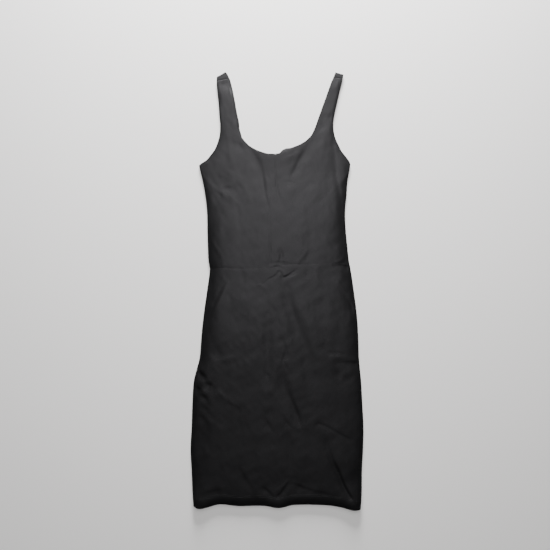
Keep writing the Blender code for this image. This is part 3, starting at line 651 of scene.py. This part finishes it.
# Where the hem's edge curls up: x, width, reach up the skirt, height
hem_curls = (
    (-0.182, 0.030, 0.032, 0.0028), (0.006, 0.028, 0.022, 0.0014), (0.184, 0.032, 0.040, 0.0034),
)
skirt_creases = (
    ((-190, -376, 0.6, 26), (-60, -380, 0.8, 26), (60, -380, 0.8, 26), (190, -376, 0.6, 26)),
    ((-48, 12, 0.15, 2.2), (-38, 15, 0.3, 2.2), (-30, 10, 0.15, 2.2)),
    ((16, 20, -0.4, 9), (21, 2, -1.1, 11), (28, -28, -1.8, 12), (36, -54, -2.1, 13),
     (46, -82, -2.1, 14), (56, -106, -1.9, 14), (64, -136, -1.7, 15), (73, -168, -1.6, 15),
     (82, -198, -1.3, 14), (90, -230, -0.6, 13)),
    ((2, 12, 0.1, 8), (6, -20, 0.5, 9), (16, -54, 0.7, 9), (25, -90, 0.5, 10),
     (32, -125, 0.1, 10)),
    ((62, -20, 0.2, 9), (74, -60, 0.8, 12), (90, -110, 0.7, 13), (100, -160, 0.2, 12)),
    ((-24, -55, -0.3, 9), (-22, -95, -1.2, 11), (-20, -150, -1.2, 11), (-22, -190, -1.1, 10),
     (-24, -230, -0.2, 9)),
    ((-70, 0, 0.2, 16), (-62, -40, 0.7, 18), (-56, -80, 0.2, 16)),
    ((8, -180, -0.4, 9), (16, -208, -1.2, 10), (26, -238, -1.8, 9), (34, -258, -1.8, 8),
     (43, -278, -1.7, 7), (50, -298, -1.3, 6), (54, -312, -0.4, 5)),
    ((12, -284, -0.15, 3), (20, -296, -0.35, 3), (32, -310, -0.3, 3.2), (42, -316, -0.1, 3)),
    ((-31, -286, -0.2, 4), (-22, -302, -0.7, 4.2), (-13, -317, -0.3, 4)),
    ((13, -108, -0.2, 4), (20, -138, -0.6, 4), (15, -160, -0.5, 4), (27, -186, -0.3, 4)),
    ((-31, -182, -0.15, 5), (-24, -190, -0.4, 5), (-16, -197, -0.15, 5)),
    ((138, 22, 0.3, 3), (151, 0, 0.7, 3), (163, -26, 0.5, 3), (166, -60, 0.2, 4)),
    ((144, 10, -0.3, 3), (156, -10, -1.3, 3.2), (170, -36, -1.2, 3.6)),
    ((112, -146, 0.1, 2.6), (134, -148, 0.22, 2.6), (156, -149, 0.1, 2.6)),
    ((118, -138, -0.1, 2.6), (140, -140, -0.22, 2.6), (158, -141, -0.1, 2.6)),
    ((140, -162, -0.2, 4), (160, -163, -0.6, 4), (186, -165, -1.0, 4)),
    ((132, -176, -0.3, 5), (140, -190, -0.9, 5), (146, -204, -0.3, 5)),
    ((-112, 22, 0.2, 3), (-123, -2, 0.8, 3), (-135, -26, 0.8, 3), (-147, -50, 0.2, 3)),
    ((-122, 20, -0.2, 5), (-133, -8, -0.5, 5), (-146, -36, -0.3, 5)),
    ((-142, -122, -0.4, 9), (-134, -140, -1.0, 10), (-130, -156, -0.3, 9)),
    ((-100, -149, 0.1, 3), (-116, -152, 0.2, 3), (-132, -160, 0.1, 3)),
    ((-181, -180, -0.4, 4), (-172, -190, -1.6, 4.4), (-164, -196, -0.9, 4), (-158, -203, -0.2, 3)),
    ((-174, -202, 0.2, 3.4), (-167, -206, 0.4, 3.4), (-158, -208, 0.2, 3)),
    ((-164, -206, -0.4, 4), (-154, -213, -1.4, 4.4), (-148, -216, -0.4, 3.6)),
    ((-188, -216, -0.4, 4), (-180, -223, -1.3, 4.4), (-172, -228, -0.3, 3.6)),
    ((-176, -220, 0.2, 3.4), (-168, -226, 0.4, 3.4), (-160, -229, 0.2, 3)),
    ((-174, -236, -0.3, 3.4), (-165, -241, -0.9, 3.6), (-157, -252, -0.2, 3)),
    ((-136, -224, 0.15, 4), (-122, -238, 0.5, 4), (-108, -254, 0.15, 4)),
    ((-118, -243, -0.2, 4), (-106, -258, -0.4, 4), (-92, -264, -0.2, 4)),
    ((-172, -262, -0.2, 4), (-160, -270, -0.4, 4), (-150, -282, -0.2, 4)),
    ((-176, -284, -0.2, 4), (-165, -293, -0.4, 4), (-157, -306, -0.2, 4)),
    ((-158, -288, 0.2, 4), (-150, -297, 0.4, 4), (-142, -303, 0.2, 4)),
    ((92, -300, -0.2, 2.2), (106, -304, -0.45, 2.2), (122, -312, -0.5, 2.2),
     (144, -325, -0.5, 2.2), (164, -335, -0.3, 2.2), (176, -339, -0.1, 2.2)),
    ((108, -330, -0.4, 6), (113, -348, -0.9, 6), (120, -370, -1.3, 5), (128, -390, -2.0, 3.6),
     (139, -412, -2.6, 3.2), (150, -440, -2.8, 3.2), (164, -464, -2.2, 3.2), (171, -474, -0.8, 3)),
    ((140, -350, 0.3, 12), (156, -390, 0.8, 13), (170, -430, 0.3, 12)),
    ((-90, -398, -0.2, 5), (-82, -412, -0.5, 5), (-72, -430, -0.6, 5), (-62, -444, -0.2, 5)),
    ((-167, -460, -0.15, 4), (-144, -456, -0.35, 4.4), (-120, -452, -0.15, 4)),
    ((-31, -447, -0.3, 3), (-22, -454, -0.7, 3), (-14, -461, -0.4, 3)),
    ((0, -466, -0.5, 3), (8, -461, -0.8, 3), (16, -450, -0.7, 3), (24, -438, -0.5, 3),
     (31, -432, -0.2, 3)),
    ((-6, -455, 0.15, 2.6), (10, -444, 0.35, 2.6), (24, -432, 0.15, 2.6)),
    ((34, -437, -0.3, 3.4), (56, -446, -0.6, 3.8), (80, -454, -0.4, 3.4)),
    ((88, -455, -0.2, 3), (104, -459, -0.4, 3), (118, -462, -0.2, 3)),
    ((15, -425, -0.3, 12), (50, -436, -0.7, 13), (85, -440, -0.3, 12)),
    ((25, -325, -0.3, 8), (29, -360, -0.9, 9), (31, -400, -0.7, 9), (32, -420, -0.3, 8)),
)


def hem_edge(x):
    """y of the hem's edge."""
    return curve(hem_points[:, 0], hem_points[:, 1], x)


def lift(x, y):
    """How far both layers stand off the surface, which is only near the hem."""
    up = y - hem_edge(x)
    rise = HEM_RISE * bell(up - HEM_DEPTH, np.where(up < HEM_DEPTH, RISE_BELOW, RISE_ABOVE))
    for at, width, reach, height in hem_curls:
        rise = rise + height * bell(x - at, width) * bell(up, reach)
    return rise


def skirt(name, columns, ups, is_front):
    """A skirt panel from its hem up to the waist seam, with its turned-up hem."""
    ups = np.asarray(ups)[:, None]
    share = ups / ups[-1]

    def y_at(x):
        return hem_edge(x) + (waist_seam(x) - GAP / 2 - hem_edge(x)) * share

    halves = level_panel(skirt_sides, np.zeros(len(ups)), y_at, columns, tube=float(is_front))
    x, y, dropped, top, inside, cloth_x = whole(halves)
    nose = HEM_NOSE - np.sqrt(np.maximum(HEM_NOSE ** 2 - np.maximum(HEM_NOSE - ups, 0) ** 2, 0))
    doubled = 1 - ease(ups, HEM_DEPTH - HEM_STEP, HEM_DEPTH + HEM_STEP)
    doubled = doubled * ease(inside, SINGLE_TO, DOUBLE_FROM)
    wall = CLOTH * (1 + doubled) - 2 * nose * doubled
    if is_front:
        z = front_height(x, y, dropped, top, inside, SIDE_SEAM, 1.0, 0.0, skirt_creases)
        to_edge = 1 - np.minimum(ups / DROP_REACH, 1)
        z -= (HEM_DROP * (1 - np.sqrt(1 - to_edge ** 2))
              * ease(inside, SOFT_FROM, HEM_DROP_FROM_SIDE))
        z = np.maximum(z, np.where(inside > SOFT_TO, 2 * wall + GAP, 0))
        z += lift(x, y) - nose * doubled
    else:
        z = dropped + lift(x, y) + nose * doubled
        z += ease(inside, SOFT_TO, BACK_FREE) * creases(x, y, skirt_back_creases)
    piece = sew(name, [cloth_grid(name, x, y, z, cloth_x)])
    group = piece.vertex_groups.new(name="wall")
    for number, share in enumerate((wall / (2 * CLOTH)).ravel()):
        group.add([number], float(share), "REPLACE")
    return thicken(piece, 2 * CLOTH, knit, is_front, "wall")


# Rows as heights above the hem's edge, close together where it turns
hem_rows = [0, 0.0002, 0.0005, 0.0010, 0.0018, 0.003]
waist = waist_seam(0.0) - hem_edge(0.0)
ups = np.concatenate((
    hem_rows, np.linspace(0.005, waist - WAIST_ROWS_DEEP, SKIRT_ROWS)[:-1],
    np.linspace(waist - WAIST_ROWS_DEEP, waist - 0.0015, WAIST_ROWS), [waist - 0.0004, waist]))
skirt_front = skirt("skirt_front_cloth", FRONT_COLUMNS, ups, True)
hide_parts("skirt_front")
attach(skirt_front, "root")

# Bodice back
# The upper back and its two straps. Inside the neckline its inner face shows, and the ends of
# its straps come over the shoulders to meet the front ones at the shoulder seams.
BACK_COLUMNS = 30
BACK_ROWS = 52
BACK_STRAP_ROWS = 60
FOLD_STEPS = 14                  # round a strap's fold
LEVEL_ROWS = (0.96, 0.85, 0.5)   # from the fold to the shoulder seam, as shares of the way
CREASED_TO = 0.75                # shares of the bodice's height: the creases are whole below
LEVEL_FROM = 0.90                # this, and gone above this
STRAP_ARCH = 0.0024              # the middle of a back strap stands off the surface this far
ARCH_WIDTH = 0.0055
ARCH_FROM = 0.006                # it begins this far in from the armhole, and is whole here
ARCH_WHOLE = 0.014
ARCH_RISES = (0.345, 0.385)      # y between which it begins, and between which it ends
ARCH_FALLS = (0.445, 0.470)
bodice_back_creases = (
    ((-62, 84, 0.2, 5), (-46, 138, 0.8, 6), (-50, 196, 0.3, 5)),
    ((48, 92, 0.2, 5), (66, 152, 0.9, 6), (58, 214, 0.3, 5)),
    ((2, 112, 0.2, 5), (12, 176, 0.5, 6), (-4, 232, 0.2, 5)),
    ((104, 70, 0.1, 5), (112, 104, 0.5, 5), (102, 142, 0.2, 5)),
    ((-118, 150, 0.1, 5), (-106, 190, 0.5, 5), (-112, 226, 0.2, 5)),
)


def bodice_back_height(x, y, dropped, top, inside, share, flat):
    """Outer face of the bodice back, or of its straps where flat is given."""
    if flat is None:
        free = ease(inside, SOFT_TO, BACK_FREE) * (1 - ease(share, CREASED_TO, LEVEL_FROM))
        return dropped + free * creases(x, y, bodice_back_creases)
    arch = STRAP_ARCH * (1 - bell(inside[:, -1:] - inside, ARCH_WIDTH))
    arch = arch * ease(inside, ARCH_FROM, ARCH_WHOLE)
    return dropped + arch * ease(y, *ARCH_RISES) * (1 - ease(y, *ARCH_FALLS))


body_share = np.concatenate(([0, 0.003], np.linspace(0.02, 1, BACK_ROWS)))
strap_number = np.linspace(0, SHOULDER_ROW, BACK_STRAP_ROWS)
grids = bodice_grids(
    "bodice_back_cloth", BACK_COLUMNS, body_share, strap_number, False, bodice_back_height)
# Each strap's fold, as shares of its width and y, and how far its armhole edge and its neck edge
# lean over to the right as they go up to it
for side, table, fold, arm_lean, neck_lean in (
    ("left", left_strap, ((0, 0.4895), (1, 0.5003)), 0.05, -0.50),
    ("right", right_strap, ((0, 0.4945), (1, 0.4998)), 0.25, 0.40),
):
    arm, neck = table[-1, :2], table[-1, 2:4]
    shown = back_neck(table, np.array([SHOULDER_ROW]), 1 if side == "left" else -1)
    under = half_panel([arm], shown, BACK_COLUMNS, 0.0, 0.0)
    over = half_panel([arm], [neck], BACK_COLUMNS, 0.0, 0.0)
    across = np.clip((over[0] - arm[0]) / (neck[0] - arm[0]), 0, 1)
    fold_y = np.interp(across, *zip(*fold))
    angle = np.linspace(0, math.pi, FOLD_STEPS + 1)[:, None]
    turn_y = fold_y - STRAP_FOLD * (1 - np.sin(angle))
    turn_z = STRAP_FOLD * (1 - np.cos(angle)) + 0 * fold_y
    level_y = [over[1] + (turn_y[-1:] - over[1]) * part for part in LEVEL_ROWS]
    level_y.append(over[1] + GAP)
    strap_y = np.concatenate((under[1], turn_y, *level_y))
    level_z = [0 * row + 2 * STRAP_FOLD for row in level_y]
    strap_z = np.concatenate((0 * under[1], turn_z, *level_z))
    turned = np.concatenate(([[0.0]], angle / math.pi, np.ones((len(level_y), 1))))
    base_x, base_y, strap_cloth = (
        under[i] + (over[i] - under[i]) * turned for i in (0, 1, 5))
    strap_x = base_x + (arm_lean + (neck_lean - arm_lean) * across) * (strap_y - base_y)
    parts = [strap_x, strap_y, strap_z, strap_cloth]
    if side == "right":
        parts = [part[:, ::-1] for part in parts]
    grids.append(cloth_grid("fold_" + side, *parts))
bodice_back = sew("bodice_back_cloth", grids)
thicken(bodice_back, CLOTH, knit, False)
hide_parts("bodice_back")
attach(bodice_back, "root")

# Skirt back
# The lower back, the same cut and knit as the skirt front. It lies flat on the surface apart
# from a few shallow creases and its hem, which is turned up as the front's is.
SKIRT_BACK_ROWS = 150
skirt_back_creases = (
    ((-64, 22, 0.2, 5), (-34, -42, 0.8, 6), (-14, -106, 0.5, 6), (-4, -158, 0.2, 5)),
    ((74, 8, 0.2, 5), (60, -58, 0.9, 6), (70, -136, 0.4, 5)),
    ((-122, -150, 0.2, 5), (-94, -204, 0.8, 6), (-72, -262, 0.3, 5)),
    ((36, -236, 0.2, 5), (68, -296, 0.8, 6), (112, -346, 0.2, 5)),
    ((-30, -296, 0.2, 5), (-44, -362, 0.9, 6), (-38, -424, 0.3, 5)),
    ((122, -64, 0.2, 5), (134, -126, 0.6, 5), (126, -192, 0.2, 5)),
)
ups = np.concatenate((hem_rows, np.linspace(0.006, waist, SKIRT_BACK_ROWS)))
skirt_back = skirt("skirt_back_cloth", BACK_COLUMNS, ups, False)
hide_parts("skirt_back")
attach(skirt_back, "root")

# Hem stitching
# Two rows of black polyester thread hold the turned-up hem on the front and on the back. A
# stitch is a short round grain that is half sunk in the knit.
STITCH_LONG = 0.0024
STITCH_EVERY = 0.0030
THREAD = 0.00038                 # thickness
ROWS_APART = 0.0032
STITCH_ROWS = (HEM_DEPTH, HEM_DEPTH - ROWS_APART)
FROM_SIDE = 0.005
CLEAR = 0.05                     # the needle's place is looked for from this far off the surface
polyester = bpy.data.materials.new("black thread")
polyester.use_nodes = True
shine = polyester.node_tree.nodes["Principled BSDF"]
shine.inputs["Base Color"].default_value = (0.008, 0.008, 0.009, 1)
shine.inputs["Roughness"].default_value = 0.5
shine.inputs["Specular IOR Level"].default_value = 0.3


def stitch_row(name, cloth, up, side):
    """A row of stitches laid on the outer face of a skirt piece, side 1 above and -1 below it."""
    left, right = (curve(skirt_sides[:, 0], skirt_sides[:, edge], hem_edge(0.0) + up)
                   for edge in (1, 2))
    count = int((right - left - 2 * FROM_SIDE) / STITCH_EVERY)
    bpy.ops.object.select_all(action="DESELECT")
    bpy.ops.mesh.primitive_uv_sphere_add(segments=6, ring_count=4, radius=0.5)
    row = bpy.context.object
    row.name = row.data.name = name
    grain = len(row.data.vertices)
    repeat = row.modifiers.new("row", "ARRAY")
    repeat.count = count
    repeat.use_relative_offset = False
    bpy.ops.object.modifier_apply(modifier=repeat.name)
    co = np.empty(len(row.data.vertices) * 3)
    row.data.vertices.foreach_get("co", co)
    co = co.reshape(count, grain, 3) * (STITCH_LONG, THREAD, THREAD)
    for number in range(count):
        x = left + FROM_SIDE + (number + 0.5) * STITCH_EVERY
        y = float(hem_edge(x)) + up
        hit, place, normal, _ = cloth.ray_cast((x, y, side * CLEAR), (0, 0, -side))
        slope = (float(hem_edge(x + STITCH_EVERY)) + up - y) / STITCH_EVERY
        lie = np.cross(normal, np.cross((1, slope, 0), normal))
        lie /= np.linalg.norm(lie)
        turned = np.stack((lie, np.cross(normal, lie), normal))
        co[number] = co[number] @ turned + np.array(place)
    row.data.vertices.foreach_set("co", co.ravel())
    row.data.update()
    bpy.ops.object.shade_smooth()
    row.data.materials.append(polyester)
    return row


front_stitching = sew("front_hem_stitching", [
    stitch_row("stitches", skirt_front, up, 1) for up in STITCH_ROWS])
back_stitching = sew("back_hem_stitching", [
    stitch_row("stitches", skirt_back, up, -1) for up in STITCH_ROWS])
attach(front_stitching, "root")
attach(back_stitching, "root")
